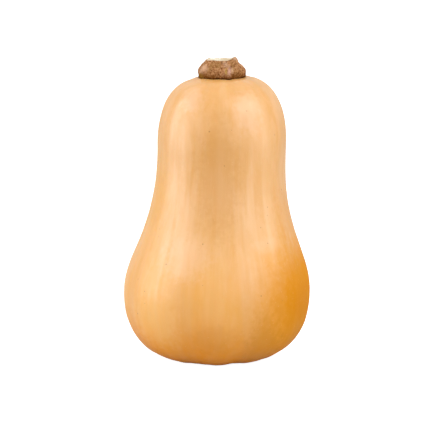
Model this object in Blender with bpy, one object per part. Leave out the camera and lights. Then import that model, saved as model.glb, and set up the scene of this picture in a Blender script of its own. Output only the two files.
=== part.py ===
"""A butternut squash, cut from the vine with its short woody stem and standing on its blossom end.

There are two pieces. The fruit is one closed body, turned from an outline and then given shallow lobes
that run from the stem to the blossom scar, a neck that leans a little, and a foot that is flat only where
its lobes touch the ground. The stem is a ridged stub with a flared foot, and its cut is dished between
two raised corners.

Metres, +Z up. The origin is on the ground under the middle of the bulb, and -Y is the front.
An angle is measured round the Z axis from the front, and grows towards +X.
"""

import math

import bmesh
import bpy
from mathutils import Vector, noise
from mathutils.geometry import interpolate_bezier

# The fruit's driving dimensions
BULB_RADIUS = 0.0626
BULB_HEIGHT = 0.0443
NECK_RADIUS = 0.0430
NECK_HEIGHT = 0.1426
CROWN_RADIUS = 0.0163
CROWN_HEIGHT = 0.1899
FOOT_RADIUS = 0.0236
DIMPLE_RADIUS = 0.0130
DIMPLE_DEPTH = 0.0042
SCAR_RADIUS = 0.0045
SCAR_RIM = 0.0010
SCAR_THICKNESS = 0.0008
SEAT_RADIUS = 0.0155
SEAT_DEPTH = 0.0012
FRONT_TO_BACK_SHARE = 0.98

# How far the crown has grown to one side of the bulb, and the heights that the lean starts and ends at
LEAN = Vector((0.0041, 0.0026, 0.0))
LEAN_START = 0.016
LEAN_END = 0.189

# How far the stem has grown to the left of the crown's middle
STEM_SHIFT = Vector((-0.0010, 0.0, 0.0))

# The shoulder beside the stem is lifted this far on the right, and lowered as far on the left
SHOULDER_RISE = 0.0007
SHOULDER_INSIDE = 0.024
SHOULDER_OUTSIDE = 0.042

# The lobes between the fruit's grooves. A lobe swells out by a share of its groove's depth. The grooves drift
# from even spacing by a few waves (radians, waves round the fruit, phase), and differ in depth.
LOBES = 8
LOBE_SWELL = 0.35
GROOVE_DRIFT = ((0.030, 1, 0.6), (0.035, 2, 0.0))
GROOVE_UNEVENNESS = 0.25
DEEPEST_GROOVE_ANGLE = 2.47

# How deep a groove is at each part of the outline
GROOVE_AT_DIMPLE = 0.0010
GROOVE_AT_FOOT = 0.0013
GROOVE_AT_BULB = 0.0007
GROOVE_AT_NECK = 0.0003
GROOVE_AT_CROWN = 0.0005

# The lobes bulge below the outline's foot: the fruit is raised until they are only a little flattened
FOOT_RAISE = 0.00025

# The stem's driving dimensions, measured from the seat that it grows on
STEM_FOOT_RADIUS = 0.0150
STEM_FLARE_RADIUS = 0.0153
STEM_FLARE_HEIGHT = 0.0044
STEM_CUT_RADIUS = 0.0088
STEM_CUT_HEIGHT = 0.0129
STEM_CORNER_RISE = 0.0020
STEM_CORNER_SHARPNESS = 2.5
STEM_DISH_DEPTH = 0.0012
STEM_BARK = 0.0016

# The stem's ridges: five main ones with a minor one between each two, drifting from even spacing
STEM_ANGLES = 5
STEM_RIDGE_ANGLE = math.radians(-52.0)
STEM_MAIN_RIDGE = 0.0008
STEM_MINOR_RIDGE = 0.0004
RIDGE_DRIFT = 0.12
RIDGE_DRIFT_PHASE = 1.9

# The low knobs on the stem's bark
KNOB_HEIGHT = 0.00035
KNOBS_PER_METRE = 260.0

# How much of the stem's ridges shows at its foot, and in the lip of skin that has grown round it
RIDGES_AT_FOOT = 0.55
RIDGES_IN_LIP = 0.7
LIP_WIDTH = 0.006

# The gap that two solids keep where one grows on the other
GAP = 0.0003

FRUIT_SIDES = 96
STEM_SIDES = 70
MERGE_DISTANCE = 1e-6


def outline(knots):
    """Stations (radius, height, groove depth) along the Bezier curve through the knots.

    A knot is its point, the handle on either side of it as an offset in radius and height, and the number
    of steps from it to the next knot.
    """
    stations = []
    for (start, _, leaving, steps), (end, arriving, _, _) in zip(knots, knots[1:]):
        handle_out = Vector(start) + Vector((*leaving, 0.0))
        handle_in = Vector(end) + Vector((*arriving, 0.0))
        stretch = interpolate_bezier(Vector(start), handle_out, handle_in, Vector(end), steps + 1)
        stations += stretch if not stations else stretch[1:]
    return stations


def fruit_outline():
    """The fruit's outline, from the middle of the blossom scar round the bulb and up to the stem's seat."""
    scar = DIMPLE_DEPTH - SCAR_THICKNESS
    seat = CROWN_HEIGHT - SEAT_DEPTH
    return outline(
        (
            ((0.0, scar, 0.0), (0.0, 0.0), (0.001, 0.0), 2),
            ((SCAR_RADIUS, scar, 0.0), (-0.001, 0.0), (0.0006, 0.0), 2),
            ((SCAR_RADIUS + SCAR_RIM, DIMPLE_DEPTH, 0.0), (-0.0003, 0.0), (0.003, 0.0), 4),
            ((DIMPLE_RADIUS, 0.0, GROOVE_AT_DIMPLE), (-0.003, 0.0), (0.002, 0.0), 3),
            ((FOOT_RADIUS, 0.0, GROOVE_AT_FOOT), (-0.002, 0.0), (0.0292, 0.0), 14),
            ((BULB_RADIUS, BULB_HEIGHT, GROOVE_AT_BULB), (0.0, -0.0185), (0.0, 0.0285), 12),
            ((NECK_RADIUS, NECK_HEIGHT, GROOVE_AT_NECK), (-0.0012, -0.0574), (0.0007, 0.0337), 13),
            ((CROWN_RADIUS, CROWN_HEIGHT, GROOVE_AT_CROWN), (0.0142, -0.0017), (-0.0004, 0.0), 2),
            ((SEAT_RADIUS, seat, 0.0), (0.0001, 0.0003), (-0.001, 0.0), 3),
            ((0.0, seat, 0.0), (0.001, 0.0), (0.0, 0.0), 0),
        )
    )


def stem_outline():
    """The stem's outline, from the middle of its foot round the flare and up to the middle of the cut."""
    dish = STEM_CUT_HEIGHT - STEM_DISH_DEPTH
    pith = STEM_CUT_RADIUS - STEM_BARK
    return outline(
        (
            ((0.0, 0.0, 0.0), (0.0, 0.0), (0.002, 0.0), 3),
            ((STEM_FOOT_RADIUS, 0.0, RIDGES_AT_FOOT), (-0.002, 0.0), (0.0002, 0.0008), 4),
            ((STEM_FLARE_RADIUS, STEM_FLARE_HEIGHT, 1.0), (0.0, -0.0024), (0.0, 0.0044), 10),
            ((STEM_CUT_RADIUS, STEM_CUT_HEIGHT, 0.8), (0.0016, -0.0016), (-0.0004, 0.0001), 2),
            ((pith, STEM_CUT_HEIGHT - 0.0005, 0.7), (0.0008, 0.0005), (-0.002, -0.0006), 4),
            ((0.0, dish, 0.0), (0.003, 0.0), (0.0, 0.0), 0),
        )
    )


def outward(stations, index):
    """The outline's unit normal at a station, pointing out of the body, as (radius, height)."""
    before = stations[max(index - 1, 0)]
    after = stations[min(index + 1, len(stations) - 1)]
    along = (after - before).to_2d().normalized()
    return Vector((along.y, -along.x))


def ease(value, start, end):
    """0 before start, 1 after end, and a smooth rise between them."""
    share = min(max((value - start) / (end - start), 0.0), 1.0)
    return share * share * (3.0 - 2.0 * share)


def around(angle, radius, height):
    """The point at this angle from the front, this far from the axis and at this height."""
    return Vector((radius * math.sin(angle), -radius * math.cos(angle), height))


def groove(angle):
    """How far in the skin is pulled at this angle: 1 in a groove, and a little below 0 on a lobe."""
    drifted = angle + sum(size * math.sin(waves * angle + phase) for size, waves, phase in GROOVE_DRIFT)
    uneven = 1.0 + GROOVE_UNEVENNESS * math.cos(angle - DEEPEST_GROOVE_ANGLE)
    return uneven * ((0.5 - 0.5 * math.cos(LOBES * drifted)) ** 2 - LOBE_SWELL)


def ridges(angle):
    """How far the stem's ridges stand out at this angle, where they are full."""
    turned = angle - STEM_RIDGE_ANGLE + RIDGE_DRIFT * math.sin(angle + RIDGE_DRIFT_PHASE)
    main = STEM_MAIN_RIDGE * math.cos(STEM_ANGLES * turned)
    return main + STEM_MINOR_RIDGE * math.cos(2 * STEM_ANGLES * turned)


def crown_shift(radius, angle):
    """How a point of the crown moves: with the stem's ridged foot beside it, and up on the right."""
    beside = ease(radius, SEAT_RADIUS, SEAT_RADIUS + LIP_WIDTH)
    inside = min(radius / SEAT_RADIUS, 1.0) * (1.0 - beside)
    on_shoulder = beside - ease(radius, SHOULDER_INSIDE, SHOULDER_OUTSIDE)
    rise = SHOULDER_RISE * on_shoulder * math.sin(angle)
    across = STEM_SHIFT * (1.0 - ease(radius, SEAT_RADIUS, SHOULDER_INSIDE))
    return across + around(angle, RIDGES_IN_LIP * inside * ridges(angle), rise)


def fruit_point(stations, index, angle):
    """A point of the fruit's skin."""
    radius, height, depth = stations[index]
    inwards = -depth * groove(angle) * outward(stations, index)
    point = around(angle, radius + inwards.x, height + inwards.y)
    point.y *= FRONT_TO_BACK_SHARE
    point += LEAN * ease(height, LEAN_START, LEAN_END)
    if height > NECK_HEIGHT:
        point += crown_shift(radius, angle)
    point.z = max(point.z + FOOT_RAISE, 0.0)
    return point


def stem_point(stations, index, angle):
    """A point of the stem's bark or of its cut, which rises to a corner on the left and on the right."""
    radius, height, ridged = stations[index]
    sideways = abs(math.sin(angle)) ** STEM_CORNER_SHARPNESS
    corner = STEM_CORNER_RISE * sideways * radius / STEM_CUT_RADIUS
    rise = corner * ease(height, STEM_FLARE_HEIGHT, STEM_CUT_HEIGHT)
    point = around(angle, radius + ridged * ridges(angle), height + rise)
    point += around(angle, KNOB_HEIGHT * ridged * noise.noise(point * KNOBS_PER_METRE), 0.0)
    point.y *= FRONT_TO_BACK_SHARE
    return point


def finish(name, colour, roughness):
    """A plain material of one colour and roughness."""
    material = bpy.data.materials.new(name)
    material.use_nodes = True
    shader = material.node_tree.nodes["Principled BSDF"]
    shader.inputs["Base Color"].default_value = (*colour, 1.0)
    shader.inputs["Roughness"].default_value = roughness
    shader.inputs["Metallic"].default_value = 0.0
    return material


def rolled(name, stations, point_at, sides, material):
    """A closed body: a flat grid rolled round the Z axis, with its seam and its two ends merged."""
    rows = len(stations) - 1
    body = bmesh.new()
    bmesh.ops.create_grid(body, x_segments=sides, y_segments=rows, size=0.5)
    for vertex in body.verts:
        angle = 2.0 * math.pi * (vertex.co.x + 0.5)
        vertex.co = point_at(stations, round(rows * (vertex.co.y + 0.5)), angle)
    bmesh.ops.remove_doubles(body, verts=body.verts, dist=MERGE_DISTANCE)
    bmesh.ops.recalc_face_normals(body, faces=body.faces)
    mesh = bpy.data.meshes.new(name)
    body.to_mesh(mesh)
    body.free()
    mesh.shade_smooth()
    mesh.materials.append(material)
    piece = bpy.data.objects.new(name, mesh)
    bpy.context.scene.collection.objects.link(piece)
    return piece


def make_fruit():
    """The fruit, standing on its lobes."""
    rind = finish("rind", (0.87, 0.46, 0.17), 0.38)
    return rolled("fruit", fruit_outline(), fruit_point, FRUIT_SIDES, rind)


def make_stem():
    """The stem, a gap above the seat in the crown."""
    bark = finish("stem_bark", (0.42, 0.24, 0.12), 0.7)
    stem = rolled("stem", stem_outline(), stem_point, STEM_SIDES, bark)
    stem.location = LEAN + STEM_SHIFT
    stem.location.z += CROWN_HEIGHT - SEAT_DEPTH + FOOT_RAISE + GAP
    return stem


def main():
    for thing in list(bpy.data.objects):
        bpy.data.objects.remove(thing)
    make_fruit()
    make_stem()


main()
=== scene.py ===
"""The looks of a butternut squash: its waxy skin, its corky stem, and a pale studio to show it in.

An add-on with one operator for the fruit, one for the stem and one for the stage. Run as a script, it
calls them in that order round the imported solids, whose height and width it takes. Metres, +Z up, and
-Y is the front. An angle is measured round the Z axis from the front, towards +X.
"""

import math

import bpy
from bpy.props import FloatProperty, FloatVectorProperty, IntProperty, PointerProperty
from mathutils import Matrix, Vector
from mathutils.geometry import interpolate_bezier


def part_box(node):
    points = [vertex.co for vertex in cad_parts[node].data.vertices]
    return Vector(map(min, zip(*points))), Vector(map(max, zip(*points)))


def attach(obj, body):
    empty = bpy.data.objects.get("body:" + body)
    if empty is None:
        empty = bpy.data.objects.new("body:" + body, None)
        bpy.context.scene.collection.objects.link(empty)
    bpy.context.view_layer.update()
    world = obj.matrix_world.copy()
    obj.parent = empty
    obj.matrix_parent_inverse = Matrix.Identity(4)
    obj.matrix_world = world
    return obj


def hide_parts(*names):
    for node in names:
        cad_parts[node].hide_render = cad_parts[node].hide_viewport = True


bl_info = {
    "name": "Butternut Squash",
    "version": (1, 0, 0),
    "blender": (4, 5, 0),
    "location": "View3D > Sidebar > Squash",
    "description": "Builds a butternut squash with its stem, and a plain studio for it",
    "category": "Add Mesh",
}

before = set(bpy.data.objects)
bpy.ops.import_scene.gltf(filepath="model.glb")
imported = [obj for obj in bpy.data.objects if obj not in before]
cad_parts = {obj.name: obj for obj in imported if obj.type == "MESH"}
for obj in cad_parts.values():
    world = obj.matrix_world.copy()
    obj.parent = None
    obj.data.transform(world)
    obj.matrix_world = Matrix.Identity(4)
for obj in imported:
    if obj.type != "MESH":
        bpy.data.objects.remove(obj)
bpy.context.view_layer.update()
FRUIT_LOW, FRUIT_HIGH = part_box("fruit")
STEM_LOW, STEM_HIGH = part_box("stem")

# The fruit's outline in proportion to the solid's size
HEIGHT = FRUIT_HIGH.z
BULB_RADIUS = 1.001 * (FRUIT_HIGH.x - FRUIT_LOW.x) / 2.0
BULB_HEIGHT = 0.2327 * HEIGHT
NECK_RADIUS = 0.6836 * BULB_RADIUS
NECK_HEIGHT = 0.749 * HEIGHT
FOOT_RADIUS = 0.375 * BULB_RADIUS
CROWN_HEIGHT = 0.9974 * HEIGHT
FRONT_TO_BACK_SHARE = 0.98

# The stem's foot, the seat in the crown that it stands in, and the crown's rolled lip round the seat
STEM_FOOT_RADIUS = 0.0150
SEAT_RADIUS = STEM_FOOT_RADIUS + 0.0001
SEAT_DEPTH = 0.0012
CROWN_RADIUS = STEM_FOOT_RADIUS + 0.0009
LIP_WIDTH = 0.006

# The hollow under the fruit, and the blossom scar in it, which fades out beyond its radius
DIMPLE_RADIUS = 0.0130
DIMPLE_DEPTH = 0.0042
SCAR_RADIUS = 0.0045
SCAR_RIM = 0.0010
SCAR_THICKNESS = 0.0008
SCAR_EDGE = (0.0004, 0.0022)

# The lobes reach below the outline's foot: the fruit is raised, and what is still too low is flattened
FOOT_RAISE = 0.00025

# How the neck leans, how the stem has grown to one side of the crown's middle, and the shoulder, which
# stands up on the right between these two radii
LEAN = Vector((0.0041, 0.0026, 0.0))
LEAN_START = 0.016
LEAN_END = 0.189
STEM_SHIFT = Vector((-0.0010, 0.0, 0.0))
SHOULDER_RISE = 0.0007
SHOULDER_INSIDE = 0.024
SHOULDER_OUTSIDE = 0.042

# The grooves between the lobes drift from even spacing (radians, waves in a turn, phase), and some have
# hardly formed (angle, share of the depth that is lost, width). The skin's ribs (height, waves, phase)
# come out as the relief of the outline grows between two shares.
LOBES = 8
LOBE_SWELL = 0.35
GROOVE_DRIFT = ((0.030, 1, 0.6), (0.035, 2, 0.0))
GROOVE_UNEVENNESS = 0.25
DEEPEST_GROOVE_ANGLE = 2.47
DEEPEST_GROOVE = 0.0013
SHALLOW_GROOVES = ((-0.42, 0.75, 0.24), (-1.14, 0.85, 0.28), (0.98, 0.90, 0.42))
RIBS = ((0.00008, 19, 1.0), (0.00005, 31, 2.6))
RIBBED_RELIEF = (0.1, 0.6)

# The swells and the dents of the skin (size, height), and how far up from the floor they fade in
UNDULATION = (0.034, 0.0010)
DENTS = (0.012, 0.00022)
SKIN_FADE = 0.01

# The stem's outline. Its foot stands a little lower than the solid's, down in the seat.
STEM_SINK = 0.0003
STEM_FLARE_RADIUS = 0.0153
STEM_FLARE_HEIGHT = 0.0044
CUT_BELOW_TIP = 0.0019
STEM_CUT_RADIUS = 0.0088
STEM_CUT_HEIGHT = STEM_HIGH.z - STEM_LOW.z - CUT_BELOW_TIP
STEM_DISH_DEPTH = 0.0012
STEM_BARK = 0.0007
CUT_EDGE_DROP = 0.0003
CUT_EDGE = (-0.0003, 0.0005)

# The corners of the cut (degrees, height, sharpness), which rise from their base, and the swells of the
# stem's flanks (degrees, how far each stands out, its middle's height, its reach)
STEM_CORNERS = ((-88.0, 0.0012, 8.0), (86.0, 0.0020, 5.0))
STEM_CORNER_BASE = 0.0108
STEM_TILT = 0.0007
STEM_SWELLS = ((80.0, -0.0022, 0.0105, 0.0032), (-88.0, 0.0008, 0.0060, 0.0036))

# The stem's ridges: five main ones with a minor one between each two, drifting from even spacing, and
# how much of them shows at the foot and in the crown's lip, which has grown round it
STEM_ANGLES = 5
STEM_RIDGE_ANGLE = math.radians(-52.0)
STEM_MAIN_RIDGE = 0.0008
STEM_MINOR_RIDGE = 0.0004
RIDGE_DRIFT = 0.12
RIDGE_DRIFT_PHASE = 1.9
RIDGES_AT_FOOT = 0.55
RIDGES_IN_LIP = 0.7

# The bark: the size and height of its knobs and of its grain, the size of its warts, how far up the
# foot they fade in, and its creases (height, waves, phase), which wander on their way up
BARK_KNOBS = (0.0034, 0.0008)
BARK_GRAIN = (0.0005, 0.00016)
WART_SIZE = 0.0012
BARK_FADE = 0.0016
WRINKLES = ((0.00020, 19, 0.7), (0.00012, 31, 2.1))
WRINKLE_WANDER = 0.05
WRINKLE_LENGTH = 0.0016

# The painted shade in the crevice where the stem meets the crown fades out between these heights
CREVICE_SHADE = (0.0013, 0.0064)

# How much height a unit of growth has on the skin and on the bark, for the streaks
SKIN_GROWTH_UNIT = 0.1
BARK_GROWTH_UNIT = 0.015

# The heights between which the skin's colours pass into each other, and the orange cheek
NECK_TO_BULB = (0.105, 0.045)
BULB_TO_FOOT = (0.050, 0.004)
RIPE_CENTRE = (0.067, -0.012, 0.044)
RIPE_SIZE = (0.072, 0.086, 0.055)

# Tints of the skin's marks, of its painted shadow and painted shade, and how light spreads under it
CLOUD_TINT = (0.92, 0.56, 0.30)
STREAK_TINT = (0.70, 0.31, 0.045)
GROOVE_TINT = (0.60, 0.26, 0.05)
FRECKLE_TINT = (0.24, 0.10, 0.03)
# Painted shadow on the skin just above the floor
CONTACT_SHADOW_TINT = (0.40, 0.14, 0.01)
# Painted shade on the skin in the seat and just beside the stem
SHADE_BESIDE_STEM_TINT = (0.50, 0.23, 0.05)
SCAR_TINTS = ((0.16, 0.08, 0.035), (0.42, 0.27, 0.14))
SKIN_SCATTER = (1.0, 0.45, 0.15)

# Tints of the bark and of the cut, with painted highlights and painted shade among them
# Pale dried bark on the ridges, which is also a painted highlight on them
DRY_AND_HIGHLIGHT_TINT = (0.62, 0.40, 0.27)
BARK_STREAK_TINT = (0.50, 0.28, 0.14)
PINPRICK_TINT = (0.08, 0.03, 0.012)
# Olive in the hollows between the ridges, partly the bark's tint and partly painted shade
HOLLOW_OLIVE_AND_SHADE_TINT = (0.26, 0.135, 0.030)
# Dark olive at the stem's foot: partly the bark's own tint, partly painted shade
MOSS_AND_SHADE_TINT = (0.150, 0.044, 0.001)
# Painted shade at the very foot of the stem, where it meets the crown
CREVICE_SHADE_TINT = (0.075, 0.022, 0.001)
FIBRE_TINT = (0.88, 0.83, 0.70)
PITH_TINT = (0.50, 0.36, 0.18)
# Browner on the right of the cut: partly its own tint, partly painted shade beside the lit left part
BROWN_AND_SHADED_CUT_TINT = (0.62, 0.47, 0.29)

# The height of the relief that is too fine for the meshes
SKIN_GRAIN = 0.00003
FRECKLE_DEPTH = 0.00008
STREAK_RELIEF = 0.000025
CORK_RELIEF = 0.0004
MOTTLE_RELIEF = 0.0007
PINPRICK_DEPTH = 0.0002

# Patches on the skin: the ripe cheek's orange, paler and darker tones, and painted highlights and
# painted shade; and patches on the bark, also with painted highlights and painted shade among them
# (centre, size, colour, share)
SKIN_PATCHES = {
    # Painted highlight on the left of the waist
    "left_waist_highlight": ((-0.0220, -0.0560, 0.0790), (0.0260, 0.0300, 0.0220), (0.93, 0.60, 0.37), 0.27),
    # Painted highlight down the left of the neck
    "left_neck_highlight": ((-0.0300, -0.0300, 0.1450), (0.0110, 0.0300, 0.0440), (0.95, 0.64, 0.42), 0.12),
    # Painted light on the lower left of the bulb
    "left_bulb_light": ((-0.0400, -0.0410, 0.0340), (0.0260, 0.0320, 0.0270), (0.92, 0.55, 0.20), 0.32),
    # Painted shade beside the groove low on the right
    "right_foot_shade": ((0.0305, -0.0420, 0.0160), (0.0175, 0.0320, 0.0340), (0.54, 0.215, 0.010), 0.40),
    "front_foot": ((-0.0020, -0.0520, 0.0250), (0.0220, 0.0300, 0.0140), (0.58, 0.22, 0.020), 0.26),
    "right_waist": ((0.0580, -0.0150, 0.0980), (0.0260, 0.0500, 0.0320), (0.74, 0.30, 0.020), 0.42),
    "over_cheek": ((0.0390, -0.0430, 0.0780), (0.0120, 0.0200, 0.0140), (0.80, 0.34, 0.030), 0.25),
    "deep_cheek": ((0.0590, -0.0200, 0.0430), (0.0150, 0.0400, 0.0200), (0.60, 0.20, 0.001), 0.38),
    "far_left": ((-0.0500, -0.0120, 0.1150), (0.0260, 0.0450, 0.0500), (0.84, 0.41, 0.050), 0.30),
    # Painted shade down the middle of the neck
    "shaded_neck": ((0.0010, -0.0450, 0.1300), (0.0200, 0.0300, 0.0560), (0.62, 0.27, 0.050), 0.38),
    # Painted highlight on the left of the crown
    "left_crown_highlight": ((-0.0170, -0.0280, 0.1800), (0.0110, 0.0160, 0.0120), (0.95, 0.62, 0.44), 0.30),
    # Painted highlight on the right of the crown
    "right_crown_highlight": ((0.0215, -0.0320, 0.1740), (0.0130, 0.0160, 0.0240), (0.95, 0.62, 0.42), 0.26),
    "pale_bar": ((0.0335, -0.0410, 0.0838), (0.0135, 0.0180, 0.0068), (0.92, 0.60, 0.38), 0.18),
}
STEM_PATCHES = {
    # Painted highlight on the left lobe of the stem
    "left_lobe_highlight": ((-0.0076, -0.0088, 0.1975), (0.0030, 0.0060, 0.0044), (0.72, 0.43, 0.26), 0.60),
    # Pink and pale dried bark on the right ridges, lightened into painted highlights
    "pink_scuff_and_highlight": ((0.0086, -0.0124, 0.1960), (0.0016, 0.0050, 0.0034), (0.62, 0.37, 0.31), 0.60),
    "pale_scuff_and_highlight": ((0.0106, -0.0114, 0.1966), (0.0014, 0.0050, 0.0036), (0.74, 0.50, 0.30), 0.50),
    "green_spot": ((0.0062, -0.0130, 0.1954), (0.0010, 0.0050, 0.0034), (0.40, 0.25, 0.05), 0.60),
    # Dark olive and brown low on the stem's flanks, partly painted shade
    "left_moss_and_shade": ((-0.0108, -0.0070, 0.1918), (0.0036, 0.0070, 0.0028), (0.24, 0.12, 0.006), 0.60),
    "right_moss_and_shade": ((0.0128, -0.0080, 0.1925), (0.0046, 0.0070, 0.0032), (0.16, 0.060, 0.010), 0.45),
    "right_corner": ((0.0120, 0.0010, 0.2035), (0.0026, 0.0070, 0.0024), (0.68, 0.44, 0.30), 0.65),
    "left_corner": ((-0.0058, 0.0000, 0.2026), (0.0024, 0.0090, 0.0014), (0.80, 0.68, 0.50), 0.80),
    "dark_split": ((0.0036, -0.0094, 0.2012), (0.0006, 0.0050, 0.0022), (0.07, 0.028, 0.012), 0.85),
    # Painted shadow where the stem's front meets the crown
    "front_shade": ((0.0022, -0.0122, 0.1897), (0.0066, 0.0060, 0.0018), (0.025, 0.007, 0.001), 0.90),
}

# The stage and its lamps (name, degrees, distance, height, size, power)
FLOOR_GAP = 0.0001
FLOOR_SIZE = 60.0
CARD_SHADES = ((0.58, 0.58, 0.58), (0.62, 0.62, 0.62))
CAMERA_AIM = Vector((-0.0040, 0.0, 0.1000))
LAMPS = (
    ("left_softbox", -81.0, 1.0, 0.36, (1.05, 1.10), 7.4),
    ("right_softbox", 60.0, 1.0, 0.38, (1.05, 1.10), 4.8),
    ("right_high_softbox", 50.0, 0.65, 0.87, (0.70, 0.50), 1.8),
    ("top_softbox", 0.0, 0.10, 1.25, (0.80, 0.80), 1.0),
)

MERGE_DISTANCE = 1e-6
FULL_TURN = 2.0 * math.pi


# ------------------------------------------------------------
# Settings
# ------------------------------------------------------------


class SquashSkinSettings(bpy.types.PropertyGroup):
    """The fruit's skin."""

    sides: IntProperty(name="Sides", description="Points round the fruit", default=384, min=48, max=480)
    neck_colour: FloatVectorProperty(
        name="Neck", description="Skin of the neck", subtype="COLOR", size=3,
        default=(0.740, 0.375, 0.110),
    )
    bulb_colour: FloatVectorProperty(
        name="Bulb", description="Skin of the bulb", subtype="COLOR", size=3,
        default=(0.820, 0.388, 0.070),
    )
    foot_colour: FloatVectorProperty(
        name="Foot", description="Skin under the bulb", subtype="COLOR", size=3,
        default=(0.800, 0.282, 0.003),
    )
    ripe_colour: FloatVectorProperty(
        name="Ripe side", description="The orange cheek on one side", subtype="COLOR", size=3,
        default=(0.640, 0.232, 0.001),
    )
    pale_colour: FloatVectorProperty(
        name="Pale streaks", description="Streaks and scuffs in the wax", subtype="COLOR", size=3,
        default=(0.900, 0.560, 0.270),
    )
    roughness: FloatProperty(
        name="Roughness", description="Roughness of the wax", subtype="FACTOR",
        default=0.35, min=0.0, max=1.0,
    )


class SquashStemSettings(bpy.types.PropertyGroup):
    """The stem's bark and cut."""

    sides: IntProperty(name="Sides", description="Points round the stem", default=300, min=48, max=400)
    wart_height: FloatProperty(
        name="Wart height", description="How far warts stand out of the bark", subtype="DISTANCE",
        default=0.00022, min=0.0, max=0.002,
    )
    bark_colour: FloatVectorProperty(
        name="Bark", description="The bark between its flecks", subtype="COLOR", size=3,
        default=(0.310, 0.116, 0.034),
    )
    fleck_colour: FloatVectorProperty(
        name="Flecks", description="Dry flecks on the bark's ridges", subtype="COLOR", size=3,
        default=(0.580, 0.295, 0.135),
    )
    pit_colour: FloatVectorProperty(
        name="Pits", description="The bark's pits and creases", subtype="COLOR", size=3,
        default=(0.100, 0.030, 0.008),
    )
    cut_colour: FloatVectorProperty(
        name="Cut", description="The pale pith where the stem was cut", subtype="COLOR", size=3,
        default=(0.780, 0.680, 0.470),
    )


class SquashStageSettings(bpy.types.PropertyGroup):
    """The floor, the lamps and the camera."""

    distance: FloatProperty(
        name="Camera distance", description="From the lens to its aim", subtype="DISTANCE", default=1.5
    )
    elevation: FloatProperty(
        name="Camera elevation", description="How far the camera looks down", subtype="ANGLE",
        default=math.radians(10.0),
    )
    lens: FloatProperty(name="Lens", description="Focal length in millimetres", default=190.3)
    room_light: FloatProperty(
        name="Room light", description="Strength of the white room's light", default=0.78, min=0.0
    )


# ------------------------------------------------------------
# Shaping
# ------------------------------------------------------------


def ease(value, start, end):
    """0 before start, 1 after end, and a smooth rise between them."""
    share = min(max((value - start) / (end - start), 0.0), 1.0)
    return share * share * (3.0 - 2.0 * share)


def outline(knots):
    """Stations (radius, height, relief) along the Bezier curve through the knots.

    A knot is its point, the handle on either side of it as an offset in radius and height, and the
    number of steps from it to the next knot. Relief is how much of the grooves or ridges shows there.
    """
    stations = []
    for (start, _, leaving, steps), (end, arriving, _, _) in zip(knots, knots[1:]):
        handle_out = Vector(start) + Vector((*leaving, 0.0))
        handle_in = Vector(end) + Vector((*arriving, 0.0))
        stretch = interpolate_bezier(Vector(start), handle_out, handle_in, Vector(end), steps + 1)
        stations += stretch if not stations else stretch[1:]
    return stations


def fruit_outline():
    """From the middle of the blossom scar round the bulb and the neck and up to the stem's seat."""
    scar = DIMPLE_DEPTH - SCAR_THICKNESS
    seat = CROWN_HEIGHT - SEAT_DEPTH
    return outline(
        (
            ((0.0, scar, 0.0), (0.0, 0.0), (0.001, 0.0), 6),
            ((SCAR_RADIUS, scar, 0.0), (-0.001, 0.0), (0.0006, 0.0), 5),
            ((SCAR_RADIUS + SCAR_RIM, DIMPLE_DEPTH, 0.0), (-0.0003, 0.0), (0.003, 0.0), 10),
            ((DIMPLE_RADIUS, 0.0, 0.77), (-0.003, 0.0), (0.002, 0.0), 8),
            ((FOOT_RADIUS, 0.0, 0.92), (-0.002, 0.0), (0.0312, 0.0), 46),
            ((BULB_RADIUS, BULB_HEIGHT, 0.54), (0.0, -0.0188), (0.0, 0.0285), 56),
            ((NECK_RADIUS, NECK_HEIGHT, 0.23), (-0.0012, -0.0574), (0.0007, 0.0337), 48),
            ((CROWN_RADIUS, CROWN_HEIGHT, 0.38), (0.0142, -0.0017), (-0.0004, 0.0), 5),
            ((SEAT_RADIUS, seat, 0.0), (0.0001, 0.0003), (-0.001, 0.0), 6),
            ((0.0, seat, 0.0), (0.001, 0.0), (0.0, 0.0), 0),
        )
    )


def stem_outline():
    """From the middle of the stem's foot round the flare and up to the middle of the cut."""
    dish = STEM_CUT_HEIGHT - STEM_DISH_DEPTH
    pith = STEM_CUT_RADIUS - STEM_BARK
    return outline(
        (
            ((0.0, 0.0, 0.0), (0.0, 0.0), (0.002, 0.0), 8),
            ((STEM_FOOT_RADIUS, 0.0, RIDGES_AT_FOOT), (-0.002, 0.0), (0.0002, 0.0008), 14),
            ((STEM_FLARE_RADIUS, STEM_FLARE_HEIGHT, 1.0), (0.0, -0.0024), (0.0, 0.0050), 60),
            ((STEM_CUT_RADIUS, STEM_CUT_HEIGHT, 0.8), (0.0028, -0.0010), (-0.0002, 0.0001), 5),
            ((pith, STEM_CUT_HEIGHT - CUT_EDGE_DROP, 0.7), (0.0004, 0.0003), (-0.002, -0.0006), 26),
            ((0.0, dish, 0.0), (0.003, 0.0), (0.0, 0.0), 0),
        )
    )


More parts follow.
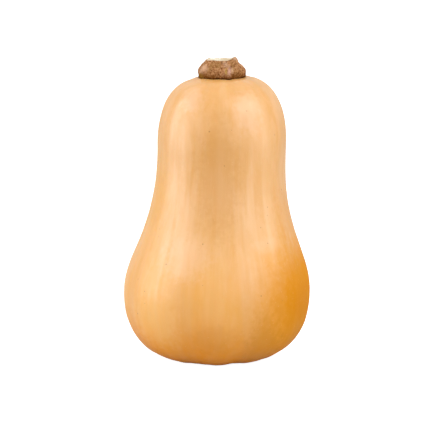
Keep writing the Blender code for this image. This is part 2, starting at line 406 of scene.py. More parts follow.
def turn(name, stations, sides):
    """A closed piece: one point extruded from station to station, then spun about the Z axis."""
    bpy.ops.object.select_all(action="DESELECT")
    bpy.ops.mesh.primitive_plane_add(size=0.01)
    piece = bpy.context.object
    piece.name = name
    piece.data.name = name
    bpy.ops.object.mode_set(mode="EDIT")
    bpy.ops.mesh.select_all(action="SELECT")
    bpy.ops.mesh.merge(type="CENTER")
    bpy.ops.transform.translate(value=(stations[0].x, 0.0, stations[0].y))
    for before, after in zip(stations, stations[1:]):
        step = (after.x - before.x, 0.0, after.y - before.y)
        bpy.ops.mesh.extrude_region_move(TRANSFORM_OT_translate={"value": step})
    bpy.ops.object.mode_set(mode="OBJECT")
    carry_relief(piece, stations)
    bpy.ops.object.mode_set(mode="EDIT")
    bpy.ops.mesh.select_all(action="SELECT")
    bpy.ops.mesh.spin(steps=sides, angle=FULL_TURN, center=(0.0, 0.0, 0.0), axis=(0.0, 0.0, 1.0))
    bpy.ops.mesh.select_all(action="SELECT")
    bpy.ops.mesh.remove_doubles(threshold=MERGE_DISTANCE)
    bpy.ops.mesh.normals_make_consistent(inside=False)
    bpy.ops.object.mode_set(mode="OBJECT")
    return piece


def carry_relief(piece, stations):
    """Weights the outline's points with their relief, which the spin then carries round the piece."""
    relief = piece.vertex_groups.new(name="relief")
    for vertex in piece.data.vertices:
        here = vertex.co
        nearest = min(stations, key=lambda each: (each.x - here.x) ** 2 + (each.y - here.z) ** 2)
        relief.add([vertex.index], nearest.z, "REPLACE")


def polar(piece):
    """Each vertex's angle from the front, radius, height and relief."""
    relief = piece.vertex_groups["relief"].index
    places = []
    for vertex in piece.data.vertices:
        x, y, z = vertex.co
        weight = next((member.weight for member in vertex.groups if member.group == relief), 0.0)
        places.append((math.atan2(x, -y), math.hypot(x, y), z, weight))
    return places


def push(piece, name, direction, amounts):
    """Moves each vertex by its own amount along an axis or its normal, by a painted Displace."""
    for sign in (1.0, -1.0):
        peak = max(sign * amount for amount in amounts)
        if peak <= 0.0:
            continue
        painted = piece.vertex_groups.new(name=name)
        for index, amount in enumerate(amounts):
            if sign * amount > 0.0:
                painted.add([index], sign * amount / peak, "REPLACE")
        shift = piece.modifiers.new(name, "DISPLACE")
        shift.direction = direction
        shift.vertex_group = painted.name
        shift.mid_level = 0.0
        shift.strength = sign * peak
        bpy.ops.object.modifier_apply(modifier=name)
        piece.vertex_groups.remove(piece.vertex_groups[name])


def roughen(piece, name, kind, size, height, amounts, **values):
    """Raises and lowers the surface with a texture of this size, by each vertex's share."""
    texture = bpy.data.textures.new(name, kind)
    texture.noise_scale = size
    for key, value in values.items():
        setattr(texture, key, value)
    shift = piece.modifiers.new(name, "DISPLACE")
    shift.texture = texture
    shift.texture_coords = "LOCAL"
    shift.direction = "NORMAL"
    shift.mid_level = 0.5
    shift.strength = height
    painted = piece.vertex_groups.new(name=name)
    for index, amount in enumerate(amounts):
        if amount > 0.0:
            painted.add([index], amount, "REPLACE")
    shift.vertex_group = painted.name
    bpy.ops.object.modifier_apply(modifier=name)
    piece.vertex_groups.remove(piece.vertex_groups[name])


def paint(piece, name, values):
    """Keeps one number for each vertex under this name, for the material to read."""
    attribute = piece.data.attributes.new(name, "FLOAT", "POINT")
    attribute.data.foreach_set("value", values)


def paint_growth(piece, places, unit):
    """Keeps a place that follows the growth for each vertex: round by angle, and along in this unit."""
    attribute = piece.data.attributes.new("growth", "FLOAT_VECTOR", "POINT")
    values = []
    for angle, _, height, _ in places:
        values += (math.sin(angle), -math.cos(angle), height / unit)
    attribute.data.foreach_set("vector", values)


def waves_at(angle, waves):
    """The sum of these waves at this angle, each a size, a number of waves in a turn and a phase."""
    return sum(size * math.sin(number * angle + phase) for size, number, phase in waves)


def groove(angle):
    """1 in the middle of a groove and 0 on a lobe."""
    drifted = angle + waves_at(angle, GROOVE_DRIFT)
    return (0.5 - 0.5 * math.cos(LOBES * drifted)) ** 2


def unevenness(angle):
    """How deep the grooves are at this angle: some have hardly formed."""
    formed = 1.0
    for place, share, width in SHALLOW_GROOVES:
        formed -= share * math.exp(-(((angle - place) / width) ** 2))
    return formed * (1.0 + GROOVE_UNEVENNESS * math.cos(angle - DEEPEST_GROOVE_ANGLE))


def ridges(angle):
    """How far the stem's ridges stand out at this angle, where they are full."""
    turned = angle - STEM_RIDGE_ANGLE + RIDGE_DRIFT * math.sin(angle + RIDGE_DRIFT_PHASE)
    main = STEM_MAIN_RIDGE * math.cos(STEM_ANGLES * turned)
    return main + STEM_MINOR_RIDGE * math.cos(2 * STEM_ANGLES * turned)


def wrinkles(angle, height):
    """Small creases down the bark, between the ridges."""
    return waves_at(angle + WRINKLE_WANDER * math.sin(height / WRINKLE_LENGTH), WRINKLES)


def swells(angle, height):
    """How far the left cheek stands out, and the right flank is drawn in under its corner."""
    total = 0.0
    for place, amount, middle, reach in STEM_SWELLS:
        facing = max(math.cos(angle - math.radians(place)), 0.0)
        total += amount * facing * math.exp(-(((height - middle) / reach) ** 2))
    return total


def corner_rise(angle):
    """How far the cut's two corners stand up at this angle."""
    rise = 0.0
    for place, height, sharpness in STEM_CORNERS:
        rise += height * max(math.cos(angle - math.radians(place)), 0.0) ** sharpness
    return rise


def flatten_front_to_back():
    """Makes the piece that is being shaped a little less deep than it is wide."""
    bpy.ops.object.mode_set(mode="EDIT")
    bpy.ops.mesh.select_all(action="SELECT")
    bpy.ops.transform.resize(value=(1.0, FRONT_TO_BACK_SHARE, 1.0), center_override=(0.0, 0.0, 0.0))
    bpy.ops.object.mode_set(mode="OBJECT")


def move_all(offset):
    """Moves the whole mesh of the piece that is being shaped."""
    bpy.ops.object.mode_set(mode="EDIT")
    bpy.ops.mesh.select_all(action="SELECT")
    bpy.ops.transform.translate(value=offset)
    bpy.ops.object.mode_set(mode="OBJECT")


def set_down(piece):
    """Flattens what reaches below the floor."""
    bpy.ops.object.mode_set(mode="EDIT")
    bpy.ops.mesh.select_all(action="DESELECT")
    bpy.ops.object.mode_set(mode="OBJECT")
    for vertex in piece.data.vertices:
        vertex.select = vertex.co.z < 0.0
    bpy.ops.object.mode_set(mode="EDIT")
    bpy.ops.transform.resize(value=(1.0, 1.0, 0.0), center_override=(0.0, 0.0, 0.0))
    bpy.ops.object.mode_set(mode="OBJECT")


def shape_crown(piece, places, high):
    """Fits the crown round the stem's ridged foot, and lifts the shoulder on the right."""
    lip_x, lip_y, shoulder, across = [], [], [], []
    for (angle, radius, _, _), share in zip(places, high):
        beside = ease(radius, SEAT_RADIUS, SEAT_RADIUS + LIP_WIDTH)
        fitted = share * RIDGES_IN_LIP * min(radius / SEAT_RADIUS, 1.0) * (1.0 - beside)
        outwards = fitted * ridges(angle)
        lip_x.append(outwards * math.sin(angle))
        lip_y.append(-outwards * math.cos(angle))
        on_shoulder = beside - ease(radius, SHOULDER_INSIDE, SHOULDER_OUTSIDE)
        shoulder.append(share * SHOULDER_RISE * on_shoulder * math.sin(angle))
        across.append(share * STEM_SHIFT.x * (1.0 - ease(radius, SEAT_RADIUS, SHOULDER_INSIDE)))
    push(piece, "lip_x", "X", lip_x)
    push(piece, "lip_y", "Y", lip_y)
    push(piece, "shoulder", "Z", shoulder)
    push(piece, "across", "X", across)


def shape_fruit(settings):
    """The fruit, turned and then given its lobes, its lean, its crown and its flat foot."""
    piece = turn("squash_skin", fruit_outline(), settings.sides)
    places = polar(piece)
    high = [1.0 if height > NECK_HEIGHT else 0.0 for _, _, height, _ in places]
    grooves = []
    for angle, _, height, relief in places:
        depth = DEEPEST_GROOVE * relief * unevenness(angle) * (groove(angle) - LOBE_SWELL)
        ribbed = ease(relief, *RIBBED_RELIEF) * (1.0 - ease(height, NECK_HEIGHT, CROWN_HEIGHT))
        grooves.append(ribbed * waves_at(angle, RIBS) - depth)
    push(piece, "grooves", "NORMAL", grooves)
    flatten_front_to_back()
    leaning = [ease(height, LEAN_START, LEAN_END) for _, _, height, _ in places]
    push(piece, "lean_x", "X", [LEAN.x * share for share in leaning])
    push(piece, "lean_y", "Y", [LEAN.y * share for share in leaning])
    shape_crown(piece, places, high)
    off_seat = []
    for _, radius, height, _ in places:
        beside = ease(radius, STEM_FOOT_RADIUS + LIP_WIDTH, STEM_FOOT_RADIUS + 2.0 * LIP_WIDTH)
        off_seat.append(beside if height > NECK_HEIGHT else ease(height, 0.0, SKIN_FADE))
    roughen(piece, "undulation", "CLOUDS", *UNDULATION, off_seat, noise_depth=1)
    roughen(piece, "dents", "CLOUDS", *DENTS, off_seat, noise_depth=2)
    move_all((0.0, 0.0, FOOT_RAISE))
    set_down(piece)
    paint(piece, "groove", [groove(angle) for angle, _, _, _ in places])
    paint(piece, "crown", [stem_shade_mask(place) for place in places])
    paint(piece, "scar", [scar_mask(place) for place in places])
    paint_growth(piece, places, SKIN_GROWTH_UNIT)
    piece.data.shade_smooth()
    return piece


def stem_shade_mask(place):
    """1 in the seat and just beside the stem, where the skin takes painted shade."""
    _, radius, height, _ = place
    if height < NECK_HEIGHT:
        return 0.0
    return 1.0 - ease(radius, STEM_FOOT_RADIUS, STEM_FOOT_RADIUS + LIP_WIDTH)


def scar_mask(place):
    """1 on the blossom scar."""
    _, radius, height, _ = place
    if height > BULB_HEIGHT:
        return 0.0
    return 1.0 - ease(radius, SCAR_RADIUS + SCAR_EDGE[0], SCAR_RADIUS + SCAR_EDGE[1])


def shape_stem(settings):
    """The stem, turned and then given its ridges, its raised corners and its warty bark."""
    piece = turn("squash_stem", stem_outline(), settings.sides)
    places = polar(piece)
    out_x, out_y, corners, bark = [], [], [], []
    for angle, radius, height, relief in places:
        on_cut = cut_mask((angle, radius, height, relief))
        outwards = relief * (ridges(angle) + (1.0 - on_cut) * wrinkles(angle, height))
        outwards += (1.0 - on_cut) * swells(angle, height)
        tilt = STEM_TILT * ease(height, STEM_FLARE_HEIGHT / 2.0, STEM_CUT_HEIGHT)
        out_x.append(outwards * math.sin(angle) + tilt)
        out_y.append(-outwards * math.cos(angle))
        near_top = ease(height, STEM_CORNER_BASE, STEM_CUT_HEIGHT)
        corners.append(min(radius / STEM_CUT_RADIUS, 1.0) * near_top * corner_rise(angle))
        bark.append((1.0 - on_cut) * ease(height, 0.0, BARK_FADE))
    push(piece, "ridges_x", "X", out_x)
    push(piece, "ridges_y", "Y", out_y)
    push(piece, "corners", "Z", corners)
    flatten_front_to_back()
    roughen(piece, "knobs", "CLOUDS", *BARK_KNOBS, bark, noise_depth=1)
    roughen(piece, "warts", "VORONOI", WART_SIZE, -settings.wart_height, bark)
    roughen(piece, "grain", "CLOUDS", *BARK_GRAIN, bark, noise_depth=2)
    move_all(LEAN + STEM_SHIFT + Vector((0.0, 0.0, STEM_LOW.z - STEM_SINK)))
    paint(piece, "cut", [cut_mask(place) for place in places])
    paint(piece, "ridge", [0.5 + 0.5 * ridges(angle) / STEM_MAIN_RIDGE for angle, _, _, _ in places])
    # 1 at the stem's foot and 0 above the crevice: where the olive tint and the painted shade go
    paint(piece, "crevice", [1.0 - ease(height, *CREVICE_SHADE) for _, _, height, _ in places])
    paint_growth(piece, places, BARK_GROWTH_UNIT)
    piece.data.shade_smooth()
    return piece


def cut_mask(place):
    """1 on the pale cut, and 0 on the bark."""
    _, radius, height, _ = place
    if height < STEM_CUT_HEIGHT - 2.0 * STEM_DISH_DEPTH:
        return 0.0
    return 1.0 - ease(radius, STEM_CUT_RADIUS + CUT_EDGE[0], STEM_CUT_RADIUS + CUT_EDGE[1])


# ------------------------------------------------------------
# Materials
# ------------------------------------------------------------


class Nodes:
    """Adds nodes to one tree, left to right."""

    def __init__(self, tree):
        self.tree = tree
        self.tree.nodes.clear()
        self.column = 0

    def add(self, kind, inputs=None, **values):
        """A node of this kind, with its settings, its constants and its links."""
        node = self.tree.nodes.new(kind)
        self.column += 1
        node.location = (180 * self.column, 0)
        for key, value in values.items():
            setattr(node, key, value)
        for key, value in (inputs or {}).items():
            self.set(node, key, value)
        return node

    def set(self, node, key, value):
        """Links a socket to this input, or writes a constant in it."""
        if isinstance(value, bpy.types.NodeSocket):
            self.tree.links.new(value, node.inputs[key])
        else:
            node.inputs[key].default_value = value

    def attribute(self, name, output="Fac"):
        return self.add("ShaderNodeAttribute", attribute_name=name).outputs[output]

    def place(self):
        return self.add("ShaderNodeTexCoord").outputs["Object"]

    def noise(self, vector, scale, detail=2.0, roughness=0.5, distortion=0.0):
        inputs = {
            "Vector": vector, "Scale": scale, "Detail": detail, "Roughness": roughness,
            "Distortion": distortion,
        }
        return self.add("ShaderNodeTexNoise", inputs).outputs["Fac"]

    def times(self, vector, factors):
        """The vector, with each of its parts multiplied by its own factor."""
        inputs = {0: vector, 1: factors}
        return self.add("ShaderNodeVectorMath", inputs, operation="MULTIPLY").outputs[0]

    def ramp(self, value, low, high, start=0.0, end=1.0):
        """Start at or below low, end at or above high, and smooth between them."""
        inputs = {"Value": value, "From Min": low, "From Max": high, "To Min": start, "To Max": end}
        return self.add("ShaderNodeMapRange", inputs, interpolation_type="SMOOTHSTEP").outputs["Result"]

    def math(self, operation, first, second=0.0):
        return self.add("ShaderNodeMath", {0: first, 1: second}, operation=operation).outputs[0]

    def blend(self, share, first, second):
        """The first colour, with this share of the second laid over it."""
        node = self.add("ShaderNodeMix", data_type="RGBA")
        self.set(node, "Factor", share)
        self.set(node, 6, opaque(first))
        self.set(node, 7, opaque(second))
        return node.outputs[2]

    def tint(self, colour, mask, share, tint):
        """The colour, with this share of a tint laid over it where the mask is."""
        return self.blend(self.math("MULTIPLY", mask, share), colour, tint)

    def bump(self, height, distance, strength):
        """The normal of a relief of this height."""
        inputs = {"Height": height, "Distance": distance, "Strength": strength}
        return self.add("ShaderNodeBump", inputs).outputs[0]

    def group(self, tree, inputs):
        return self.add("ShaderNodeGroup", inputs, node_tree=tree)


def opaque(colour):
    """A colour setting with full opacity, or a socket as it is."""
    return colour if isinstance(colour, bpy.types.NodeSocket) else (*colour, 1.0)


def new_group(name, inputs, outputs):
    """An empty node group with these named sockets: its tree, its nodes and its inputs' sockets."""
    tree = bpy.data.node_groups.new(name, "ShaderNodeTree")
    for socket, kind, default in inputs:
        item = tree.interface.new_socket(socket, in_out="INPUT", socket_type=kind)
        if default is not None:
            item.default_value = default
    for socket, kind in outputs:
        tree.interface.new_socket(socket, in_out="OUTPUT", socket_type=kind)
    nodes = Nodes(tree)
    start = nodes.add("NodeGroupInput")
    return tree, nodes, start.outputs


def streaks_group():
    """Streaks that run along the growth: a broad set and a fine set, each from 0 to 1."""
    tree, nodes, given = new_group(
        "streaks",
        (
            ("Growth", "NodeSocketVector", None),
            ("Round", "NodeSocketFloat", 9.0),
            ("Along", "NodeSocketFloat", 0.8),
        ),
        (("Broad", "NodeSocketFloat"), ("Fine", "NodeSocketFloat")),
    )
    across, along = given["Round"], given["Along"]
    stretch = nodes.add("ShaderNodeCombineXYZ", {0: across, 1: across, 2: along})
    spread = nodes.times(given["Growth"], stretch.outputs[0])
    broad = nodes.noise(spread, 1.0, 3.0, 0.55, 0.3)
    fine = nodes.noise(spread, 3.6, 4.0, 0.60, 0.2)
    streaks = {"Broad": nodes.ramp(broad, 0.37, 0.63), "Fine": nodes.ramp(fine, 0.28, 0.72)}
    nodes.add("NodeGroupOutput", streaks)
    return tree


def specks_group():
    """Small round specks strewn over the surface, 1 in their middles, of which only a share is kept."""
    tree, nodes, given = new_group(
        "specks",
        (
            ("Place", "NodeSocketVector", None),
            ("Per metre", "NodeSocketFloat", 300.0),
            ("Radius", "NodeSocketFloat", 0.2),
            ("Share", "NodeSocketFloat", 0.2),
        ),
        (("Specks", "NodeSocketFloat"),),
    )
    wobble = nodes.noise(given["Place"], 900.0, 2.0)
    cell = nodes.add("ShaderNodeTexVoronoi", {"Vector": given["Place"], "Scale": given["Per metre"]})
    edge = nodes.add("ShaderNodeMath", {0: wobble, 1: 0.25, 2: -0.125}, operation="MULTIPLY_ADD")
    reach = nodes.math("ADD", cell.outputs["Distance"], edge.outputs[0])
    inner = nodes.math("MULTIPLY", given["Radius"], 0.35)
    round_speck = nodes.ramp(reach, given["Radius"], inner)
    draw = nodes.add("ShaderNodeSeparateColor", {0: cell.outputs["Color"]}).outputs[0]
    kept = nodes.math("LESS_THAN", draw, given["Share"])
    nodes.add("NodeGroupOutput", {"Specks": nodes.math("MULTIPLY", round_speck, kept)})
    return tree


def scuff_group():
    """A soft-edged mark of a given size round a centre, broken up by noise."""
    tree, nodes, given = new_group(
        "scuff",
        (
            ("Place", "NodeSocketVector", None),
            ("Centre", "NodeSocketVector", None),
            ("Size", "NodeSocketVector", None),
            ("Broken", "NodeSocketFloat", 0.5),
        ),
        (("Mark", "NodeSocketFloat"),),
    )
    place, centre, size = given["Place"], given["Centre"], given["Size"]
    offset = nodes.add("ShaderNodeVectorMath", {0: place, 1: centre}, operation="SUBTRACT").outputs[0]
    share = nodes.add("ShaderNodeVectorMath", {0: offset, 1: size}, operation="DIVIDE").outputs[0]
    reach = nodes.add("ShaderNodeVectorMath", {0: share}, operation="LENGTH").outputs["Value"]
    ragged = nodes.noise(place, 260.0, 4.0, 0.6)
    swing = nodes.math("MULTIPLY", nodes.math("SUBTRACT", ragged, 0.5), given["Broken"])
    nodes.add("NodeGroupOutput", {"Mark": nodes.ramp(nodes.math("ADD", reach, swing), 1.0, 0.35)})
    return tree


def end_material(nodes, colour, roughness, normal, **values):
    """The surface's shader, with its colour, roughness and normal linked and its other values set."""
    inputs = {"Base Color": colour, "Roughness": roughness, "Normal": normal}
    shader = nodes.add("ShaderNodeBsdfPrincipled", inputs)
    for key, value in values.items():
        nodes.set(shader, key.replace("_", " "), value)
    nodes.add("ShaderNodeOutputMaterial", {"Surface": shader.outputs[0]})


def new_material(name):
    material = bpy.data.materials.new(name)
    material.use_nodes = True
    return material, Nodes(material.node_tree)


def lay_patches(nodes, groups, place, colour, patches):
    """The colour with each patch's tint laid over it, softly and broken at the edge."""
    for centre, size, tint, share in patches.values():
        inputs = {"Place": place, "Centre": centre, "Size": size, "Broken": 0.9}
        patch = nodes.group(groups["scuff"], inputs).outputs[0]
        colour = nodes.tint(colour, patch, share, tint)
    return colour


def skin_masks(nodes, groups, place):
    """What varies over the skin, each from 0 to 1."""
    growth = nodes.attribute("growth", "Vector")
    streaks = nodes.group(groups["streaks"], {"Growth": growth, "Round": 6.5, "Along": 0.8})
    cheek = {"Place": place, "Centre": RIPE_CENTRE, "Size": RIPE_SIZE, "Broken": 0.25}
    freckles = {"Place": place, "Per metre": 210.0, "Radius": 0.13, "Share": 0.16}
    pores = {"Place": place, "Per metre": 520.0, "Radius": 0.24, "Share": 0.35}
    return {
        "broad": streaks.outputs["Broad"],
        "fine": streaks.outputs["Fine"],
        "groove": nodes.attribute("groove"),
        "ripe": nodes.group(groups["scuff"], cheek).outputs[0],
        "freckles": nodes.group(groups["specks"], freckles).outputs[0],
        "pores": nodes.group(groups["specks"], pores).outputs[0],
        # Painted shade in the seat and just beside the stem
        "shade_beside_stem": nodes.attribute("crown"),
        "scar": nodes.attribute("scar"),
        "corky": nodes.noise(place, 1400.0, 3.0, 0.6),
    }


def grown_colour(nodes, settings, place, height, masks):
    """Tan on the neck and more orange towards the foot, with a pale bloom in streaks and clouds."""
    blotch = nodes.noise(place, 22.0, 3.0, 0.5, 0.4)
    wander = nodes.math("MULTIPLY", nodes.math("SUBTRACT", blotch, 0.5), 0.04)
    level = nodes.math("ADD", height, wander)
    colour = nodes.blend(nodes.ramp(level, *NECK_TO_BULB), settings.neck_colour, settings.bulb_colour)
    colour = nodes.blend(nodes.ramp(level, *BULB_TO_FOOT), colour, settings.foot_colour)

    bloom = nodes.math("MULTIPLY", masks["broad"], nodes.ramp(level, 0.020, 0.075, 0.05, 0.27))
    colour = nodes.tint(colour, bloom, nodes.ramp(height, 0.10, 0.18, 1.0, 0.45), settings.pale_colour)
    clouded = nodes.noise(nodes.times(place, (1.0, 1.0, 0.3)), 95.0, 4.0, 0.6, 0.3)
    fading = nodes.ramp(level, 0.030, 0.085, 0.06, 0.20)
    return nodes.tint(colour, nodes.ramp(clouded, 0.40, 0.62), fading, CLOUD_TINT)


def mark_skin(nodes, groups, settings, place, height, masks, colour):
    """The colour with the cheek, the fine streaks, the grooves, the patches and the specks on it, and
    painted shadow where it meets the floor and painted shade beside the stem.
    """
    colour = nodes.tint(colour, masks["ripe"], 0.96, settings.ripe_colour)
    off_streaks = nodes.math("SUBTRACT", 1.0, masks["fine"])
    streaked = nodes.ramp(height, 0.07, 0.12, 0.14, 0.06)
    colour = nodes.tint(colour, off_streaks, streaked, STREAK_TINT)
    grooved = nodes.ramp(height, 0.11, 0.06, 0.07, 0.18)
    colour = nodes.tint(colour, masks["groove"], grooved, GROOVE_TINT)
    colour = lay_patches(nodes, groups, place, colour, SKIN_PATCHES)
    colour = nodes.tint(colour, masks["freckles"], 0.45, FRECKLE_TINT)
    colour = nodes.tint(colour, masks["pores"], 0.14, settings.pale_colour)
    # Painted shadow: darker brown on the lowest 2 mm of skin, where it meets the floor
    colour = nodes.blend(nodes.ramp(height, 0.0018, 0.0002, 0.0, 0.6), colour, CONTACT_SHADOW_TINT)
    # Painted shade in the seat and on the skin just beside the stem
    colour = nodes.tint(colour, masks["shade_beside_stem"], 0.25, SHADE_BESIDE_STEM_TINT)
    return nodes.blend(masks["scar"], colour, nodes.blend(masks["corky"], *SCAR_TINTS))


def wax_skin(nodes, settings, place, height, masks):
    """The skin's roughness, and its wax: less on the cheek, off the streaks, low down and edge on."""
    wax = nodes.noise(place, 60.0, 3.0, 0.6)
    roughness = nodes.ramp(wax, 0.3, 0.7, settings.roughness - 0.05, settings.roughness + 0.06)
    roughness = nodes.math("ADD", roughness, nodes.math("MULTIPLY", masks["ripe"], 0.25))
    roughness = nodes.math("ADD", roughness, nodes.math("MULTIPLY", masks["scar"], 0.35))

    worn = nodes.math("ADD", masks["ripe"], nodes.ramp(height, 0.045, 0.005, 0.0, 0.6))
    waxed = nodes.math("SUBTRACT", nodes.ramp(wax, 0.25, 0.75, 0.9, 1.0), worn)
    waxed.node.use_clamp = True
    waxed = nodes.math("MULTIPLY", waxed, nodes.ramp(masks["broad"], 0.15, 0.85, 0.78, 1.0))
    edge_on = nodes.add("ShaderNodeLayerWeight", {"Blend": 0.5}).outputs["Facing"]
    waxed = nodes.math("MULTIPLY", waxed, nodes.ramp(edge_on, 0.55, 1.0, 1.0, 0.25))
    return roughness, waxed


def skin_normal(nodes, place, masks):
    """A fine grain, sunken freckles, low streaks and the cork of the scar."""
    relief = nodes.math("MULTIPLY", nodes.noise(place, 1500.0, 3.0, 0.55), SKIN_GRAIN)
    relief = nodes.math("SUBTRACT", relief, nodes.math("MULTIPLY", masks["freckles"], FRECKLE_DEPTH))
    relief = nodes.math("ADD", relief, nodes.math("MULTIPLY", masks["fine"], STREAK_RELIEF))
    cork = nodes.math("MULTIPLY", masks["corky"], masks["scar"])
    relief = nodes.math("ADD", relief, nodes.math("MULTIPLY", cork, CORK_RELIEF))
    return nodes.bump(relief, 1.0, 0.8)


def skin_material(settings, groups):
    """Thin waxy rind over the colours that it has grown, with light that spreads a little under it."""
    material, nodes = new_material("squash_rind")
    place = nodes.place()
    height = nodes.add("ShaderNodeSeparateXYZ", {0: place}).outputs["Z"]
    masks = skin_masks(nodes, groups, place)
    colour = grown_colour(nodes, settings, place, height, masks)
    colour = mark_skin(nodes, groups, settings, place, height, masks, colour)
    roughness, waxed = wax_skin(nodes, settings, place, height, masks)
    end_material(
        nodes, colour, roughness, skin_normal(nodes, place, masks), IOR=1.15,
        Subsurface_Weight=0.12, Subsurface_Scale=0.004, Subsurface_Radius=SKIN_SCATTER,
        Coat_Weight=waxed, Coat_Roughness=0.27, Coat_IOR=1.70,
    )
    return material


def bark_colour(nodes, groups, settings, place, growth, mottle, pinpricks):
    """Mottled bark, paler on its ridges with dried bark and a painted highlight, and darker in its
    hollows and at the crown, partly olive and partly painted shade.
    """
    ridge = nodes.attribute("ridge")
    crevice = nodes.attribute("crevice")
    coarse = nodes.noise(place, 150.0, 3.0, 0.55, 0.4)
    streaks = nodes.group(groups["streaks"], {"Growth": growth, "Round": 7.0, "Along": 2.2})
    colour = nodes.blend(nodes.ramp(mottle, 0.45, 0.60), settings.bark_colour, settings.fleck_colour)
    colour = nodes.tint(colour, nodes.ramp(mottle, 0.46, 0.38), 0.85, settings.pit_colour)
    # Paler on the ridges: dried bark, and a painted highlight
    dry_and_lit = nodes.math("MULTIPLY", nodes.ramp(ridge, 0.45, 1.1), nodes.ramp(coarse, 0.40, 0.62))
    colour = nodes.tint(colour, dry_and_lit, 0.50, DRY_AND_HIGHLIGHT_TINT)
    colour = nodes.tint(colour, streaks.outputs["Fine"], 0.25, BARK_STREAK_TINT)
    colour = nodes.tint(colour, pinpricks, 0.45, PINPRICK_TINT)
    # Darker in the hollows between the ridges: olive tint and painted shade
    hollow = nodes.ramp(ridge, 0.45, 0.0)
    colour = nodes.tint(colour, hollow, nodes.ramp(coarse, 0.35, 0.60, 0.15, 0.6), HOLLOW_OLIVE_AND_SHADE_TINT)
    # Dark olive at the foot, partly the bark's tint and partly painted shade
    colour = nodes.tint(colour, nodes.ramp(mottle, 0.48, 0.60, 1.0, 0.60), crevice, MOSS_AND_SHADE_TINT)
    # Painted shade, darkest at the very foot of the stem in the crevice at the crown
    deepest_shade = nodes.ramp(crevice, 0.93, 0.99)
    colour = nodes.tint(colour, deepest_shade, nodes.ramp(coarse, 0.40, 0.55, 0.5, 1.0), CREVICE_SHADE_TINT)
    return lay_patches(nodes, groups, place, colour, STEM_PATCHES)


def cut_colour(nodes, settings, place, growth, pith):
    """Pale fibres and pith, browner towards the right corner: partly their own tint and partly painted
    shade, so the left part looks lit.
    """
    fibres = nodes.noise(nodes.times(growth, (1.0, 1.0, 0.0)), 14.0, 3.0, 0.6)
    colour = nodes.blend(nodes.ramp(fibres, 0.35, 0.65), settings.cut_colour, FIBRE_TINT)
    colour = nodes.blend(nodes.ramp(pith, 0.52, 0.36, 0.0, 0.35), colour, PITH_TINT)
    sideways = nodes.add("ShaderNodeSeparateXYZ", {0: place}).outputs["X"]
    # Browner towards the right: partly the cut's tint, partly painted shade
    return nodes.tint(colour, nodes.ramp(sideways, 0.0, 0.006), 0.75, BROWN_AND_SHADED_CUT_TINT)


def stem_material(settings, groups):
    """Dry corky bark, mottled and pitted, with a pale fibrous cut."""
    material, nodes = new_material("squash_stem_bark")
    place = nodes.place()
    growth = nodes.attribute("growth", "Vector")
    cut = nodes.attribute("cut")
    mottle = nodes.noise(place, 850.0, 4.0, 0.66, 0.2)
    pith = nodes.noise(place, 700.0, 4.0, 0.6)
    inputs = {"Place": place, "Per metre": 1100.0, "Radius": 0.36, "Share": 0.45}
    pinpricks = nodes.group(groups["specks"], inputs).outputs[0]
    bark = bark_colour(nodes, groups, settings, place, growth, mottle, pinpricks)
    colour = nodes.blend(cut, bark, cut_colour(nodes, settings, place, growth, pith))

    roughness = nodes.ramp(mottle, 0.3, 0.7, 0.80, 0.60)
    roughness = nodes.math("ADD", roughness, nodes.math("MULTIPLY", cut, 0.2))

    relief = nodes.math("MULTIPLY", mottle, MOTTLE_RELIEF)
    relief = nodes.math("SUBTRACT", relief, nodes.math("MULTIPLY", pinpricks, PINPRICK_DEPTH))
    relief = nodes.math("MULTIPLY", relief, nodes.math("SUBTRACT", 1.0, cut))
    cork = nodes.math("MULTIPLY", pith, cut)
    relief = nodes.math("ADD", relief, nodes.math("MULTIPLY", cork, CORK_RELIEF))
    end_material(nodes, colour, roughness, nodes.bump(relief, 1.0, 0.9), IOR=1.12)
    return material


def floor_material():
    """Matt white card with a very faint tooth."""
    material, nodes = new_material("studio_card")
    tooth = nodes.noise(nodes.place(), 900.0, 3.0, 0.6)
    colour = nodes.blend(tooth, *CARD_SHADES)
    roughness = nodes.ramp(tooth, 0.3, 0.7, 0.8, 0.9)
    normal = nodes.bump(tooth, 0.0001, 0.2)
    seen = nodes.add("ShaderNodeLightPath").outputs["Is Camera Ray"]
    end_material(nodes, colour, roughness, normal, Emission_Color=seen, Emission_Strength=0.95)
    return material


def effect_groups():
    """The shared effects, built once."""
    makers = {"streaks": streaks_group, "specks": specks_group, "scuff": scuff_group}
    return {name: bpy.data.node_groups.get(name) or make() for name, make in makers.items()}


# ------------------------------------------------------------
# Operators
# ------------------------------------------------------------


class SQUASH_OT_fruit(bpy.types.Operator):
    """Build the squash's fruit round its solid"""

    bl_idname = "squash.fruit"
    bl_label = "Build the fruit"
    bl_options = {"REGISTER", "UNDO"}

    def execute(self, context):
        settings = context.scene.squash_skin
        piece = shape_fruit(settings)
        piece.data.materials.append(skin_material(settings, effect_groups()))
        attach(piece, "root")
        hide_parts("fruit")
        return {"FINISHED"}


class SQUASH_OT_stem(bpy.types.Operator):
    """Build the stem in its seat"""

    bl_idname = "squash.stem"
    bl_label = "Build the stem"
    bl_options = {"REGISTER", "UNDO"}

    def execute(self, context):
        settings = context.scene.squash_stem
        piece = shape_stem(settings)
        piece.data.materials.append(stem_material(settings, effect_groups()))
        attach(piece, "root")
        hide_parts("stem")
        return {"FINISHED"}


class SQUASH_OT_stage(bpy.types.Operator):
    """Lay the pale floor, hang the soft lamps and set up the camera"""

    bl_idname = "squash.stage"
    bl_label = "Build the stage"
    bl_options = {"REGISTER", "UNDO"}

    def execute(self, context):
        settings = context.scene.squash_stage
        lay_floor()
        light_room(context, settings)
        for lamp in LAMPS:
            hang_lamp(*lamp)
        set_camera(context, settings)
        context.scene.view_settings.view_transform = "Standard"
        return {"FINISHED"}


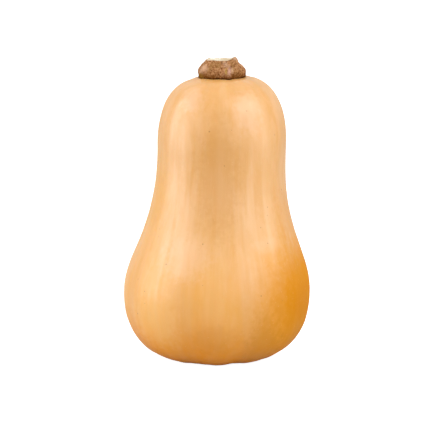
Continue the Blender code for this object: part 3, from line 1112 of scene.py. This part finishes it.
def lay_floor():
    """A wide floor just under the squash's foot."""
    bpy.ops.object.select_all(action="DESELECT")
    bpy.ops.mesh.primitive_plane_add(size=FLOOR_SIZE, location=(0.0, 0.0, -FLOOR_GAP))
    floor = bpy.context.object
    floor.name = "studio_floor"
    floor.data.materials.append(floor_material())


def light_room(context, settings):
    """A plain white room, which lights the squash a little less than it shows."""
    world = bpy.data.worlds.new("white_room")
    context.scene.world = world
    world.use_nodes = True
    nodes = Nodes(world.node_tree)
    white = (1.0, 1.0, 1.0, 1.0)
    walls = nodes.add("ShaderNodeBackground", {"Color": white, "Strength": 1.0})
    fill = nodes.add("ShaderNodeBackground", {"Color": white, "Strength": settings.room_light})
    seen = nodes.add("ShaderNodeLightPath").outputs["Is Camera Ray"]
    room = nodes.add("ShaderNodeMixShader", {0: seen, 1: fill.outputs[0], 2: walls.outputs[0]})
    nodes.add("ShaderNodeOutputWorld", {"Surface": room.outputs[0]})


def hang_lamp(name, angle, distance, height, size, power):
    """A soft rectangular lamp at this angle from the front, aimed at the middle of the squash."""
    side = math.radians(angle)
    place = Vector((distance * math.sin(side), -distance * math.cos(side), height))
    bpy.ops.object.light_add(type="AREA", location=place)
    lamp = bpy.context.object
    lamp.name = name
    lamp.data.name = name
    lamp.data.shape = "RECTANGLE"
    lamp.data.size, lamp.data.size_y = size
    lamp.data.energy = power
    lamp.visible_camera = False
    aim = Vector((0.0, 0.0, HEIGHT / 2.0))
    lamp.rotation_euler = (aim - place).to_track_quat("-Z", "Y").to_euler()


def set_camera(context, settings):
    """A long lens in front, looking down a little."""
    down = settings.elevation
    place = CAMERA_AIM + settings.distance * Vector((0.0, -math.cos(down), math.sin(down)))
    bpy.ops.object.camera_add(location=place)
    camera = bpy.context.object
    camera.name = "studio_camera"
    camera.data.lens = settings.lens
    camera.rotation_euler = (CAMERA_AIM - place).to_track_quat("-Z", "Y").to_euler()
    context.scene.camera = camera


class SQUASH_PT_sidebar(bpy.types.Panel):
    """Lists the steps and their settings."""

    bl_label = "Butternut Squash"
    bl_idname = "SQUASH_PT_sidebar"
    bl_space_type = "VIEW_3D"
    bl_region_type = "UI"
    bl_category = "Squash"

    def draw(self, context):
        for step, group in STEPS:
            box = self.layout.box()
            settings = getattr(context.scene, group)
            for key in settings.__annotations__:
                box.prop(settings, key)
            box.operator(step)


STEPS = (
    ("squash.fruit", "squash_skin"),
    ("squash.stem", "squash_stem"),
    ("squash.stage", "squash_stage"),
)
SETTINGS = {
    "squash_skin": SquashSkinSettings,
    "squash_stem": SquashStemSettings,
    "squash_stage": SquashStageSettings,
}
CLASSES = (*SETTINGS.values(), SQUASH_OT_fruit, SQUASH_OT_stem, SQUASH_OT_stage, SQUASH_PT_sidebar)


def register():
    for each in CLASSES:
        bpy.utils.register_class(each)
    for name, group in SETTINGS.items():
        setattr(bpy.types.Scene, name, PointerProperty(type=group))


def unregister():
    for name in SETTINGS:
        delattr(bpy.types.Scene, name)
    for each in reversed(CLASSES):
        bpy.utils.unregister_class(each)


def write_sizes():
    """Brings the view layer's matrices up to date."""
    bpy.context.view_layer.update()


def main():
    register()
    bpy.ops.squash.fruit()
    bpy.ops.squash.stem()
    bpy.ops.squash.stage()
    write_sizes()


if __name__ == "__main__":
    main()
